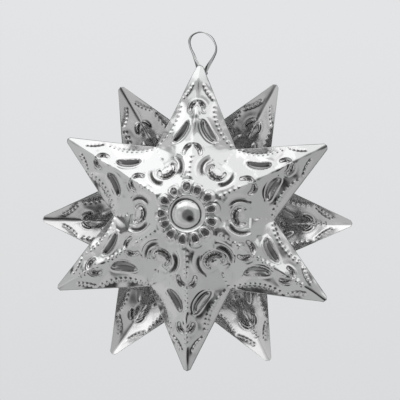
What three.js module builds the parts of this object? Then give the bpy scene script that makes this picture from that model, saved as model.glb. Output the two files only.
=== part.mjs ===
// A hanging tin star ornament. Two folded six-pointed star shells stand back to back, the back
// one turned by about half a point, so that twelve points show. Small solder joints hold their
// edges together where they cross, and a twisted strip behind the top point makes the loop.
// Millimetres, +Z up. The front star faces -Y. The origin is the hanging point: the middle of
// the loop's top, on its inner side.

import * as THREE from 'three';

// Driving dimensions
const POINTS = 6;
const SHEET = 0.4; // measured along the depth; about 0.3 square to the sloping sheet
const RIM_GAP = 0.3; // between the two stars' rims, where they nearly touch

// Fold of one star. Radii are in plan, heights are above the plane of the rim.
const NOMINAL_REACH = 63;
const TIP_HALF_WIDTH = 1.3;
const NOTCH_RADIUS = 33.5;
const KNEE_RADIUS = 31; // where the ridge turns from its gentle outer slope to the dome's
const KNEE_HEIGHT = 10;
const DOME_RADIUS = 13; // corner of the flat hexagon that carries the rosette
const DOME_HEIGHT = 19.5;
const KITE_RADIUS = 27.5; // outer corner of the kite facet between two ridges
const KITE_HEIGHT = 4.8;

// Round boss in the middle of the flat hexagon, and the ring groove pressed in round it
const BOSS_RADIUS = 6;
const BOSS_HEIGHT = 1.7;
const BOSS_RINGS = 3;
const GROOVE_WIDTH = 1.6;
const GROOVE_DEPTH = 0.6;
const GROOVE_RINGS = 2;

// How finely each half of a point is divided
const STEPS_ACROSS = 2; // from the ridge to the free edge
const STEPS_ALONG = 3; // from the knee to the tip

// The stars are cut and folded by hand, so that no two points are quite alike. Reaches are in
// mm and leans in degrees, counted anticlockwise from the first point, seen from outside.
const FRONT_STAR = {
  turn: 0,
  reaches: [64, 62.8, 63.8, 63.1, 64.6, 62.6],
  leans: [0.1, 0.1, -0.9, -0.2, 0.4, 0.2],
  notchRadius: NOTCH_RADIUS,
};
const BACK_STAR = {
  turn: 28.8,
  reaches: [65.8, 65.2, 65.3, 64.5, 63.9, 64.5],
  leans: [0.2, 0.3, 0.6, 0.9, 0.2, -0.2],
  notchRadius: NOTCH_RADIUS + 0.8,
};
const BACK_SHIFT = new THREE.Vector2(0.3, -1.2); // seen from the front: right, up

// Hanging loop: a thin strip bent by hand into a leaning teardrop, its ends behind the top point.
// The bends run from the left end over the top to the right end, each with its place from the tip
// and the twist there in degrees: 0 where the strip faces the hanging point, and a quarter turn
// where it lies flat against the inside of the point.
const STRIP_WIDTH = 1.8;
const STRIP_THICKNESS = 0.3;
const STRIP_SETBACK = 0.9; // from the plane between the stars back to the strip's middle
const LOOP_HEIGHT = 13.8; // from the tip up to the strip's middle at its top
const LOOP_BENDS = [
  { right: -0.6, up: -2.8, twist: -90 },
  { right: -1.5, up: 0.4, twist: -62 },
  { right: -3.0, up: 4.0, twist: -30 },
  { right: -4.6, up: 7.4, twist: -18 },
  { right: -5.1, up: 10.4, twist: -20 },
  { right: -3.5, up: 12.9, twist: -5 },
  { right: 0, up: LOOP_HEIGHT, twist: 0 },
  { right: 3.6, up: 12.1, twist: 24 },
  { right: 5.9, up: 8.8, twist: 12 },
  { right: 6, up: 5.2, twist: 16 },
  { right: 4.2, up: 1.5, twist: 34 },
  { right: 2.9, up: -0.8, twist: 56 },
  { right: 1.6, up: -3.3, twist: 90 },
];
const LOOP_STEPS = 48;

// Solder
const JOINT_RADIUS = 1.2;
const JOINT_THICKNESS = 1.1;
const JOINT_INSET = 2.7; // from where two edges cross, in towards the centre
const LOOP_BEAD = new THREE.Vector3(2, 0.6, 1.2); // half sizes of the bead over the strip ends
const LOOP_BEAD_PLACE = new THREE.Vector2(0.5, -3.2); // from the tip: right, up
const BEAD_GAP = 0.3;
const BLOB_SEGMENTS = 10;
const BLOB_RINGS = 6;

const halfSector = Math.PI / POINTS;
const tipHeight = FRONT_STAR.reaches[0];
const hangHeight = tipHeight + LOOP_HEIGHT - STRIP_THICKNESS / 2; // above the front star's centre

function tinplate() {
  return new THREE.MeshStandardMaterial({ color: 0xc4c7ca, roughness: 0.16, metalness: 1 });
}

function solder() {
  return new THREE.MeshStandardMaterial({ color: 0x9fa2a5, roughness: 0.42, metalness: 1 });
}

function polar(radius, angle) {
  return new THREE.Vector2(radius * Math.cos(angle), radius * Math.sin(angle));
}

/** Direction of point number k, in plan and seen from outside the star. */
function pointAngle(star, k) {
  const index = (k + POINTS) % POINTS;
  return Math.PI / 2 + THREE.MathUtils.degToRad(star.turn + star.leans[index]) + 2 * k * halfSector;
}

/** Direction of the notch that follows point number k. */
function notchAngle(star, k) {
  return (pointAngle(star, k) + pointAngle(star, k + 1)) / 2;
}

function tipOf(star, k) {
  return polar(star.reaches[(k + POINTS) % POINTS], pointAngle(star, k));
}

function notchOf(star, k) {
  return polar(star.notchRadius, notchAngle(star, k));
}

/** How far the round boss and its groove stand above the flat hexagon. */
function bossRise(radius) {
  if (radius < BOSS_RADIUS) {
    return BOSS_HEIGHT * Math.cos((Math.PI / 2) * (radius / BOSS_RADIUS));
  }
  return -GROOVE_DEPTH * Math.sin(Math.PI * (radius - BOSS_RADIUS) / GROOVE_WIDTH);
}

/** Radii of the rings of points that shape the boss and its groove. */
function bossRadii() {
  const dome = Array.from({ length: BOSS_RINGS + 1 }, (_, i) => BOSS_RADIUS * i / BOSS_RINGS);
  const groove = Array.from({ length: GROOVE_RINGS }, (_, i) => (
    BOSS_RADIUS + GROOVE_WIDTH * (i + 1) / GROOVE_RINGS));
  return [...dome, ...groove];
}

/** A point of the sheet: its place in plan, with its height as z. */
function lift(planPoint, height) {
  return new THREE.Vector3(planPoint.x, planPoint.y, height);
}

/** Points spread evenly on the straight line between two points. */
function lineOf(from, to, steps) {
  return Array.from({ length: steps + 1 }, (_, i) => from.clone().lerp(to, i / steps));
}

/**
 * Rows of points that cover half of one point of the star. Each row runs from the ridge to the
 * valley or to the free edge, and the rows go from the centre out to the tip.
 */
function halfPointRows(star, k, side) {
  const ridge = pointAngle(star, k);
  const valley = side > 0 ? notchAngle(star, k) : notchAngle(star, k - 1);
  const reach = star.reaches[k];
  const arcOf = (radius) => Array.from({ length: STEPS_ACROSS + 1 }, (_, i) => {
    const angle = THREE.MathUtils.lerp(ridge, valley, i / STEPS_ACROSS);
    return lift(polar(radius, angle), DOME_HEIGHT + bossRise(radius));
  });

  const domeCorner = lift(polar(DOME_RADIUS, ridge), DOME_HEIGHT);
  const hexagonSide = lift(polar(DOME_RADIUS * Math.cos(halfSector), valley), DOME_HEIGHT);
  const kiteCorner = lift(polar(KITE_RADIUS, valley), KITE_HEIGHT);
  const knee = lift(polar(KNEE_RADIUS * reach / NOMINAL_REACH, ridge), KNEE_HEIGHT);
  const notch = lift(polar(star.notchRadius, valley), 0);
  const tip = lift(polar(reach, ridge), 0);
  const sideways = polar(TIP_HALF_WIDTH * side, ridge + Math.PI / 2);
  const tipShoulder = lift(polar(reach - TIP_HALF_WIDTH / 2, ridge).add(sideways), 0);

  const outerRows = lineOf(knee, tip, STEPS_ALONG).map((onRidge, i) => {
    const onEdge = notch.clone().lerp(tipShoulder, i / STEPS_ALONG);
    return lineOf(onRidge, onEdge, STEPS_ACROSS);
  });
  return [
    ...bossRadii().map(arcOf),
    lineOf(domeCorner, hexagonSide, STEPS_ACROSS),
    lineOf(domeCorner, kiteCorner, STEPS_ACROSS),
    ...outerRows,
  ];
}

/** Collects triangles, with points that coincide shared and empty triangles left out. */
class SheetMesh {
  constructor() {
    this.points = [];
    this.triangles = [];
    this.numbers = new Map();
  }

  numberOf(point) {
    const key = point.toArray().map((value) => value.toFixed(4)).join(' ');
    if (!this.numbers.has(key)) {
      this.numbers.set(key, this.points.length);
      this.points.push(point);
    }
    return this.numbers.get(key);
  }

  addTriangle(a, b, c) {
    const corners = [a, b, c].map((point) => this.numberOf(point));
    if (new Set(corners).size === 3) {
      this.triangles.push(corners);
    }
  }

  addStrip(near, far, side) {
    for (let i = 0; i + 1 < near.length; i += 1) {
      const [first, second] = side > 0 ? [i, i + 1] : [i + 1, i];
      this.addTriangle(near[first], far[first], far[second]);
      this.addTriangle(near[first], far[second], near[second]);
    }
  }

  /** The edges that only one triangle uses, each in that triangle's own direction. */
  freeEdges() {
    const used = new Set();
    for (const [a, b, c] of this.triangles) {
      for (const edge of [[a, b], [b, c], [c, a]]) {
        used.add(edge.join(' '));
      }
    }
    return [...used].map((key) => key.split(' ').map(Number)).filter(([a, b]) => !used.has(`${b} ${a}`));
  }

  /** A closed body: the sheet as its outer face, a copy lower down, and a wall round the rim. */
  thicken(thickness) {
    const count = this.points.length;
    const positions = this.points.flatMap((point) => point.toArray());
    const lowered = this.points.flatMap((point) => [point.x, point.y, point.z - thickness]);
    const faces = this.triangles.flatMap(([a, b, c]) => [a, b, c, count + c, count + b, count + a]);
    for (const [a, b] of this.freeEdges()) {
      faces.push(b, a, count + a, b, count + a, count + b);
    }
    const geometry = new THREE.BufferGeometry();
    geometry.setAttribute('position', new THREE.Float32BufferAttribute([...positions, ...lowered], 3));
    geometry.setIndex(faces);
    geometry.computeVertexNormals();
    return geometry;
  }
}

/** One star shell, lying flat: its outer side faces +Z and its rim's inner side is at z = 0. */
function makeStar(name, star) {
  const sheet = new SheetMesh();
  for (let k = 0; k < POINTS; k += 1) {
    for (const side of [1, -1]) {
      const rows = halfPointRows(star, k, side);
      for (let row = 0; row + 1 < rows.length; row += 1) {
        sheet.addStrip(rows[row], rows[row + 1], side);
      }
    }
  }
  const mesh = new THREE.Mesh(sheet.thicken(SHEET), tinplate());
  mesh.name = name;
  mesh.position.z = SHEET + RIM_GAP / 2;
  return mesh;
}

/** The outline of a star, tip and notch in turn, as it is seen from outside. */
function outlineOf(star) {
  return Array.from({ length: POINTS }, (_, k) => [tipOf(star, k), notchOf(star, k)]).flat();
}

/** Where the straight lines a-b and c-d cross, or null when they don't. */
function crossingOf(a, b, c, d) {
  const along = b.clone().sub(a);
  const other = d.clone().sub(c);
  const between = c.clone().sub(a);
  const spread = along.cross(other);
  const share = between.cross(other) / spread;
  const otherShare = between.cross(along) / spread;
  const inside = (value) => value >= 0 && value <= 1;
  return inside(share) && inside(otherShare) ? a.clone().addScaledVector(along, share) : null;
}

/** The places where the two outlines cross, seen from the front, in order round the star. */
function crossings() {
  const front = outlineOf(FRONT_STAR);
  const back = outlineOf(BACK_STAR).map(({ x, y }) => new THREE.Vector2(-x, y).add(BACK_SHIFT));
  const found = [];
  front.forEach((a, i) => {
    back.forEach((c, j) => {
      const crossing = crossingOf(a, front[(i + 1) % front.length], c, back[(j + 1) % back.length]);
      if (crossing) {
        found.push(crossing);
      }
    });
  });
  return found.sort((a, b) => a.angle() - b.angle());
}

function makeBlob(name, halfSizes) {
  const geometry = new THREE.SphereGeometry(1, BLOB_SEGMENTS, BLOB_RINGS);
  geometry.scale(halfSizes.x, halfSizes.y, halfSizes.z);
  const mesh = new THREE.Mesh(geometry, solder());
  mesh.name = name;
  return mesh;
}

/** Flat drops of solder in the wedge between the two sheets, just inside each crossing. */
function makeSolderJoints() {
  const halfSizes = new THREE.Vector3(JOINT_RADIUS, JOINT_THICKNESS / 2, JOINT_RADIUS);
  return crossings().map((crossing, index) => {
    const blob = makeBlob(`solder_joint_${index + 1}`, halfSizes);
    const place = crossing.clone().setLength(crossing.length() - JOINT_INSET);
    blob.position.set(place.x, 0, place.y);
    return blob;
  });
}

/**
 * Stations along the strip's middle line, from the left end over the top to the right end. Each
 * has its place above the front star's centre, the direction out of the loop, and its twist.
 */
function loopStations() {
  const bends = LOOP_BENDS.map(({ right, up, twist }) => (
    new THREE.Vector3(right, tipHeight + up, THREE.MathUtils.degToRad(twist))));
  const curve = new THREE.CatmullRomCurve3(bends, false, 'catmullrom');
  const stations = curve.getPoints(LOOP_STEPS);
  return stations.map(({ x, y, z: twist }, i) => {
    const before = stations[Math.max(i - 1, 0)];
    const after = stations[Math.min(i + 1, LOOP_STEPS)];
    const outward = new THREE.Vector2(before.y - after.y, after.x - before.x).normalize();
    return { place: new THREE.Vector2(x, y), outward, twist };
  });
}

/** The four corners of the strip's cross-section at one station. */
function stripCorners({ place, outward, twist }) {
  const out = new THREE.Vector3(outward.x, 0, outward.y);
  const depth = new THREE.Vector3(0, 1, 0);
  const across = depth.clone().multiplyScalar(Math.cos(twist)).addScaledVector(out, Math.sin(twist));
  const facing = out.clone().multiplyScalar(Math.cos(twist)).addScaledVector(depth, -Math.sin(twist));
  const middle = new THREE.Vector3(place.x, STRIP_SETBACK, place.y);
  return [[-1, -1], [1, -1], [1, 1], [-1, 1]].map(([u, v]) => middle.clone()
    .addScaledVector(across, u * STRIP_WIDTH / 2)
    .addScaledVector(facing, v * STRIP_THICKNESS / 2));
}

function makeLoop() {
  const rings = loopStations().map(stripCorners);
  const last = 4 * (rings.length - 1);
  const faces = [0, 2, 1, 0, 3, 2, last, last + 1, last + 2, last, last + 2, last + 3];
  for (let base = 0; base < last; base += 4) {
    for (let corner = 0; corner < 4; corner += 1) {
      const a = base + corner;
      const b = base + (corner + 1) % 4;
      faces.push(a, b + 4, a + 4, a, b, b + 4);
    }
  }
  const geometry = new THREE.BufferGeometry();
  const positions = rings.flat().flatMap((point) => point.toArray());
  geometry.setAttribute('position', new THREE.Float32BufferAttribute(positions, 3));
  geometry.setIndex(faces);
  geometry.computeVertexNormals();
  const mesh = new THREE.Mesh(geometry, tinplate());
  mesh.name = 'hanging_loop';
  return mesh;
}

/** The bead of solder that covers both strip ends on the hollow side of the top point. */
function makeLoopSolder() {
  const bead = makeBlob('loop_solder', LOOP_BEAD);
  const depth = STRIP_SETBACK + STRIP_THICKNESS / 2 + BEAD_GAP + LOOP_BEAD.y;
  bead.position.set(LOOP_BEAD_PLACE.x, depth, tipHeight + LOOP_BEAD_PLACE.y);
  return bead;
}

const frontStar = makeStar('front_star', FRONT_STAR);
const frontSide = new THREE.Group();
frontSide.rotation.x = Math.PI / 2;
frontSide.add(frontStar);

const backStar = makeStar('back_star', BACK_STAR);
const backSide = new THREE.Group();
backSide.rotation.set(Math.PI / 2, 0, Math.PI, 'ZYX');
backSide.position.set(BACK_SHIFT.x, 0, BACK_SHIFT.y);
backSide.add(backStar);

const ornament = new THREE.Group();
ornament.position.z = -hangHeight;
ornament.add(frontSide, backSide, ...makeSolderJoints(), makeLoop(), makeLoopSolder());

const part = new THREE.Group();
part.add(ornament);
export default part;
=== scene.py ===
"""Looks of the tin star ornament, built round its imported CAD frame.

Each star is one thin sheet, folded into six roof-shaped points round a flat hexagon and then punched with
a pattern of beads, arches, beans, swirls and petals. The sheet is worked out as a height over a flat star
seen from outside: x runs along a point's ridge, y sideways from it, and the height comes towards the eye.
The stars, loop and solder are in millimetres until they are placed in the frame, which is in metres. The
camera, lights and floor are in metres throughout.
"""

import math

import bmesh
import bpy
import numpy as np
from mathutils import Matrix, Vector, noise


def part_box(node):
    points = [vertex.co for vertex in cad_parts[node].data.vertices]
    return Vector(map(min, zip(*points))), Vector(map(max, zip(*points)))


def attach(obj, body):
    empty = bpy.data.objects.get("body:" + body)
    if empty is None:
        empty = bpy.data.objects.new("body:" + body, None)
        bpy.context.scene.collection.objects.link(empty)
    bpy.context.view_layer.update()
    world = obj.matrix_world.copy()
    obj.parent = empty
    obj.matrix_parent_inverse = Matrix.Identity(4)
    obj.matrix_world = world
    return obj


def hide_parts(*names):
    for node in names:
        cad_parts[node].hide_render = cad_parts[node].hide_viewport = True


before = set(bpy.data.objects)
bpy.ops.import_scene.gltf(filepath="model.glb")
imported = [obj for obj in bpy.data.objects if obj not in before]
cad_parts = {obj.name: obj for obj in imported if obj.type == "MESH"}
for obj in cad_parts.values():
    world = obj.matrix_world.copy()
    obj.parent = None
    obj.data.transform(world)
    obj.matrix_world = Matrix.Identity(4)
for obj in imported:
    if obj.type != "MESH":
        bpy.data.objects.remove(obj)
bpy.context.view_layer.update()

MM = 0.001
FULL_TURN = 2 * math.pi

# -------- the fold of one star
POINTS = 6
HALF_SECTOR = math.pi / POINTS
SHEET = 0.36
REACH = 63.0
TIP_HALF_WIDTH = 1.3
TIP_SHARE = 0.96  # CAD corners beyond this share of the longest reach belong to a tip
NOTCH_RADIUS = 33.5
BACK_NOTCH_RADIUS = NOTCH_RADIUS + 0.8
KNEE_RADIUS = 31.0
KNEE_HEIGHT = 10.0
KNEE_ROUNDING = 3.0
DOME_RADIUS = 13.0
DOME_HEIGHT = 19.5
KITE_RADIUS = 27.5
KITE_HEIGHT = 4.8
FOLD_ROUNDING = 0.5
RIDGE_ROUNDING = 0.7
INNER_RIDGE_ROUNDING = 0.9  # added to it inside the knee
INNER_RIDGE_FADE = (3.0, 10.0)  # distances inside the knee over which it is added

NOTCH = np.array([NOTCH_RADIUS * math.cos(HALF_SECTOR), NOTCH_RADIUS * math.sin(HALF_SECTOR)])
TIP_SHOULDER = np.array([REACH - TIP_HALF_WIDTH / 2, TIP_HALF_WIDTH])

# mesh spacing over the rosette, and over the rest of the sheet
FINE_SPACINGS = (0.18, 0.32)
PLAIN_SPACINGS = (0.37, 0.37)
HIDDEN_SPACINGS = (0.6, 0.6)
MERGE_DISTANCE = 2e-6  # in metres
ARC_STEPS = 14

# -------- how uneven the hand work is
FRONT_SEED = 3
BACK_SEED = 8
WAVE_SEED = 50  # added to a star's own seed
FRONT_UNEVENNESS = 0.0105  # height of the sheet's waves, as a share of their length
BACK_UNEVENNESS = 0.006
WAVE_LENGTHS = (31.0, 24.0, 19.0, 15.0, 12.0, 9.5, 7.5)
WAVE_FADE = (5.0, 14.0)  # distances from the centre over which the waves reach their full height
PUNCH_SCATTER = 0.22

# -------- the punched pattern: boss and petals
BOSS_RADIUS = 5.85
BOSS_HEIGHT = 1.65
BOSS_OFFSET = 0.45  # how far the boss was punched above the middle of its ring groove
GROOVE_RADIUS = 7.5
GROOVE_DEPTH = 0.85
GROOVE_OVERLAP = 0.3  # how far the groove reaches in under the edge of the boss
GROOVE_POWER = 1.2  # shape of the groove's outer wall: 1 is straight, and more is rounder
GROOVE_LIP = (0.14, 0.2, 0.45)  # height, distance outside the groove, width
# across, up, height and width of the dent and the burr that the centring punch left
CENTRE_MARKS = ((-0.3, 0.0, -0.07, 0.4), (0.35, 0.3, 0.05, 0.3))
ROSETTE_RADIUS = 13.3
PETALS = 13
PETAL_RING_RADIUS = 10.4
PETAL_TURN = 0.1  # direction of the first petal, in radians
PETAL_HALF_LENGTH = 1.85
PETAL_HALF_WIDTH = 1.35
PETAL_POWER = 2.4  # shape of the outline: 2 is an ellipse, and more is squarer
# distance outside the outline and height there: floor, inner wall, rim, outer wall, sunk border, sheet
PETAL_PROFILE = [(-0.45, -0.6), (-0.1, 0.15), (0.2, 0.58), (0.6, 0.1), (0.95, -0.3), (1.6, 0.0)]
PETAL_EDGE = 0.5  # distance outside the groove over which the petals reach their full height

# -------- beads and borders
BEAD_RADIUS = 0.56
BEAD_HEIGHT = 0.5
SCALLOP_START = 0.04  # shares of a free edge, from the tip: the outer scallop's two ends
SCALLOP_SPLIT = 0.42
SCALLOP_BOWS = (1.9, 2.8)
SCALLOP_POWER = 0.8  # shape of each bow: 1 is a sine, and less is fuller
SCALLOP_INSET = 0.45
EDGE_BEADS = ((0.2, 5), (0.46, 10))  # where each scallop's beads start, and how many it has
EDGE_BEAD_START = 0.3  # place of its first bead, as a share of the spacing
STRIP_SLOPE = 0.28  # how much steeper the strip outside the scallops falls than the facet
STRIP_WAVES = ((0.3, 1.9), (0.15, 3.7))  # strength and number of the waves that make it uneven
CREST_FADE = (0.1, 0.4)  # shares of the edge over which the scallops' crest reaches its full height
CREST_REACH = (0.6, 0.35, 4.9)  # how far it spreads inwards: least, share of the half width, most added
CREST_SPREAD_FADE = (0.35, 0.55)
RIDGE_BEADS = (15.4, 2.15, 5)  # first bead, spacing and number on every inner ridge
OUTER_RIDGE_BEADS = (30.4, 1.95, 12)  # the same on the outer ridge of the beaded points
FLATTENED_BEADS = range(5, 9)  # the beads left out of that row
RIDGE_BEAD_SIZE = (0.5, 0.62)  # height and radius
VALLEY_BEADS = (28.6, 1.75, 3)
VALLEY_BEAD_SIZE = (0.34, 0.5)
RIDGE_PIT = 13.6
RIDGE_PIT_SIZE = (-0.45, 1.3)
VALLEY_PIT = 26.6
VALLEY_PIT_SIZE = (-0.45, 0.5)
FRONT_BEADED_POINTS = (2, 3, 4)
BACK_BEADED_POINTS = (1, 2)

# -------- pressed marks: beans, arches and swirls
OUTER_MARKS = (0.24, 0.45)  # height of a mark's lip and width of its wall, on the outside
INNER_MARKS = (0.0, 1.1)  # the same on the inside, where each mark is a soft bulge
WALL_FOOT = 0.05  # how far outside a mark's outline its wall starts
LIP_PLACE = (0.35, 0.3)  # distance of a mark's lip outside its outline, and the lip's width
MARK_DISH = (0.2, 0.6, 1.4)  # depth, start and width of the sheet drawn down round a mark
BEAN_CENTRE = (34.5, 5.35)
BEAN_TILT = math.radians(-33)
BEAN_LENGTH = 11.0
BEAN_HALF_WIDTH = 1.7
BEAN_LEAST_WIDTH = 0.5
BEAN_BOW = (0.4, 0.9)  # shift of its middle line towards the ridge, and how much less at its ends
BEAN_POWERS = (2.6, 0.55)  # shape of its outline: a higher first or lower second power is blunter
BEAN_DEPTH = 1.35
BEAN_END_FADE = (-0.05, 1.2)  # distances from its ends over which it reaches its full depth
BEAN_STEEP_FADE = (0.0, 0.3)  # shares of its width, from the bowed side: the steep and the gentle wall
BEAN_GENTLE_FADE = (0.15, 1.0)
BEAN_LIP = (0.45, 0.4)
BEAN_DISH = (0.22, 0.2, 1.8)
BEAN_SHADE_LINE = (-0.2, 0.25)  # distance outside its outline, and width, of the thin dark line of painted shade in its crease
# centre along the ridge, half length, half spread, half width of the groove, depth, half span in degrees
ARCHES = {"tip": (43.4, 3.7, 2.9, 1.0, 1.0, 86), "base": (24.9, 4.2, 3.5, 1.1, 1.15, 82)}
ARCH_CROSSING = (0.22, 0.75)  # share of an arch that crosses the ridge, and how much shallower it is there
ARCH_NARROWING = (0.35, 0.3, 3)  # how much narrower at the crossing, at the ends, and the ends' shape
ARCH_PILLOW = (0.35, 0.6, 0.8)  # height, shift towards the centre, gap to the middle of the groove
ARCH_PILLOW_FADE = (0.2, 1.1)
SWIRL_CENTRE = 20.7
LETTER_SIZE = (2.5, 3.4)
LETTER_SPAN = (62, 298)
LETTER_STEPS = 18
LETTER_HALF_WIDTH = 1.2
LETTER_NARROWING = 0.35
LETTER_DEPTH = 1.3
LETTER_PILLOW = (0.6, 0.6, 1.5, 2.1)  # height, shift away from the centre, half length, half width
GAP_CREASE = ((2.9, -4.2), (3.2, 4.2))  # its two ends, from the letter's centre
GAP_CREASE_SIZE = (-0.2, 0.7)  # height and width
SIDE_ARC_CENTRE = 21.2
SIDE_ARC_SIZE = (5.7, 6.5)
SIDE_ARC_SPAN = (56, 150)
SIDE_ARC_DEPTH = 1.1
SIDE_ARC_TAPER = 4  # shape of its ends: more is blunter
# width of its wall, then the distance and the width of the swelling beyond, outside and inside the arc
SIDE_ARC_OUTSIDE = (1.6, 2.1, 1.0)
SIDE_ARC_INSIDE = (0.7, 1.0, 0.6)
SIDE_ARC_SWELL = 0.4

# -------- wear, tarnish and painted light and shade, as the tin's look sees it
PETAL_KNURL_AND_SHADE = (0.65, -0.45, -0.15)  # strength of the petals' knurl and painted shade, and the distances outside the outline where it fades out
BOSS_EDGE_SHADE = (0.9, 0.1, 0.22)  # thin dark line of painted shade round the boss's edge, also knurl-bumped: strength, distance outside the boss's edge, width
MARK_KNURL_AND_SHADE = 0.85  # strength of the knurl and painted shade in the arches and letters, and of the painted shade line round the beans
ARCH_KNURL_AND_SHADE_FADE = (0.5, 1.1)  # shares of an arch's half width over which it fades out
LETTER_KNURL_AND_SHADE_FADE = (-0.45, 0.0)
# distances over which the painted shade in the side arcs' creases fades out
SIDE_ARC_SHADE_FADE = (0.35, 0.75)
INNER_KNURL_AND_SHADE = 0.2  # share of the knurl and painted shade that shows on the inside
# hollows deeper than this get no more tarnish and painted shade
DEEPEST_HOLLOW = 1.5
RAISED_FADE = (0.1, 0.3)  # heights over which a raised mark comes to be rubbed bright and given a painted highlight
RAISED_LIMIT = 0.7  # above it lies only the boss, which is neither rubbed nor given the painted highlight

# -------- hanging loop
STRIP_WIDTH = 1.8
STRIP_THICKNESS = 0.3
STRIP_ROUNDING = 0.1
STRIP_SETBACK = 0.9
# Bends of the strip, from its left end over the top to its right end: right and up from the front star's
# top tip, and the twist in degrees, 0 where the strip faces the hanging point.
LOOP_BENDS = [
    (-0.6, -2.8, -90), (-1.5, 0.4, -62), (-3.0, 4.0, -30), (-4.6, 7.4, -18), (-5.1, 10.4, -20),
    (-3.5, 12.9, -5), (0.0, 13.8, 0), (3.6, 12.1, 24), (5.9, 8.8, 12), (6.0, 5.2, 16), (4.2, 1.5, 34),
    (2.9, -0.8, 56), (1.6, -3.3, 90),
]
STEPS_PER_BEND = 9
STRIP_WOBBLE = 0.1
STRIP_WOBBLE_LENGTH = 3.0
STRIP_WOBBLE_PLACE = 7.0  # where in the noise the wobble is read
STRIP_SEED = 4  # without it, the wobble would change from run to run
STRIP_SHARP_ANGLE = math.radians(50)

# -------- solder
DROP_HALF_SIZES = (1.8, 0.8, 1.8)
LOOP_PUDDLE_HALF_SIZES = (2.5, 0.85, 1.9)
LOOP_PUDDLE_SEED = 31
DROP_SUBDIVISIONS = 4
BROAD_LUMPS = (0.16, 1.6)  # height, as a share of the drop's size, and number over it
FINE_LUMPS = (0.04, 5.0)

# -------- materials
TIN_COLOUR = (0.88, 0.885, 0.89, 1)
# the dark of the tarnish and of the painted shade in hollows, creases and knurled grooves
TARNISH_AND_SHADE_COLOUR = (0.13, 0.128, 0.122, 1)
# the bright of rubbed raised marks with a painted highlight, and of the inside, lightened with painted light
RUBBED_AND_PAINTED_LIGHT_COLOUR = (0.98, 0.98, 0.98, 1)
TIN_ROUGHNESS = (0.1, 0.17)
TARNISH_ROUGHNESS = 0.08  # added where the tin is fully tarnished or darkened with painted shade
INSIDE_ROUGHNESS = 0.06  # added on the inside of the sheet
CLOUD_RANGE = (0.3, 0.7)  # the noise values that the tin's clouds are stretched over
TARNISH_AND_SHADE_PATCHES = (0.6, 1.3)  # how much the clouds thin and thicken the tarnish and painted shade in the hollows
HOLLOW_TARNISH_AND_SHADE_FADE = (0.35, 1.2)  # depths over which a hollow darkens with tarnish and painted shade
# greatest darkening of a hollow, from tarnish and painted shade
HOLLOW_TARNISH_AND_SHADE = 0.55
# how much the knurl and the painted shade in creases darken the tin
KNURL_AND_SHADE_DARKENING = 0.8
CLOUDS = (45.0, 5.0, 0.6)  # scale per metre, detail and roughness of the noise
LINE_STRETCH = (900.0, 900.0, 60.0)
LINES = (1.0, 3.0)
LINE_BUMP = 0.05
KNURL_SCALE = 1500.0
KNURL_BUMP = 0.7
BUMP_HEIGHT = 0.0002  # in metres
FROST = (700.0, 6.0, 0.65)
FROST_BUMP = 0.4
SOLDER_DARK = (0.4, 0.4, 0.41, 1)
SOLDER_PALE = (0.66, 0.665, 0.67, 1)
SOLDER_ROUGHNESS = (0.3, 0.52)
FLOOR_COLOUR = (0.74, 0.745, 0.75, 1)
FLOOR_ROUGHNESS = 0.8
FLOOR_FADE = (0.5, 2.3)

# -------- camera, light and floor
VIEW_DISTANCE = 0.9
VIEW_WIDTH = 0.1651
VIEW_AZIMUTH = math.radians(8)
VIEW_ELEVATION = math.radians(-5)
VIEW_ROLL = math.radians(2.4)
VIEW_LIMIT = 20.0
AIM_OFFSET = (0.00256, 0.0075)
SENSOR_WIDTH = 36.0  # in mm

WALL_SHADE = 0.42
BACKDROP_LOW = (0.7, 0.71, 0.72, 1)
BACKDROP_HIGH = (0.765, 0.775, 0.785, 1)
BACKDROP_RISE = 0.17  # upward part of the direction in which the backdrop reaches its high colour
# degrees off the front or back axis, clock angle from +X, radius, softness, shade
PANELS = [
    (88, 90, 50, 12, 0.54),
    (72, 188, 34, 14, 0.5),
    (74, -18, 30, 12, 0.4),
    (72, -95, 26, 12, 0.45),
    (8, -30, 37, 8, 0.13),
    (34, -50, 17, 11, 0.02),
    (84, -99, 8, 3, 0.02),
    (83, 38, 8, 3, 0.05),
    (88, 152, 6, 3, 0.06),
    (90, 205, 6, 3, 0.05),
    (42, 102, 7, 5, 0.6),
    (50, 168, 6, 4, 0.6),
]
# centre, size and brightness
SOFTBOXES = {
    "top_light": ((-0.02, 0.0, 0.30), (1.3, 0.64), 0.34),
    "left_light": ((-0.24, -0.1, 0.299), (0.44, 0.4), 0.2),
}
FLOOR_HALF_SIZE = 2.5
FLOOR_LEVEL = -0.30


# ======== numbers and curves
def smooth_max(a, b, rounding):
    """The larger of two values, with the corner where they meet rounded off."""
    return 0.5 * (a + b + np.sqrt((a - b) ** 2 + rounding ** 2))


def smooth_min(a, b, rounding):
    """The smaller of two values, with the corner where they meet rounded off."""
    return -smooth_max(-a, -b, rounding)


def smooth_step(value, low, high):
    """0 up to low, 1 from high on, and a smooth rise between them."""
    share = np.clip((value - low) / (high - low), 0.0, 1.0)
    return share * share * (3 - 2 * share)


def hump(distance, width):
    """A rounded bump: 1 at distance 0, nearly 0 past twice the width."""
    return np.exp(-(distance / width) ** 2)


def ellipse_arc(centre, half_x, half_y, start, end, steps=ARC_STEPS):
    """Points on an ellipse between two angles in degrees, counted from +X."""
    angles = np.radians(np.linspace(start, end, steps))
    return np.column_stack([centre[0] + half_x * np.cos(angles), centre[1] + half_y * np.sin(angles)])


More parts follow.
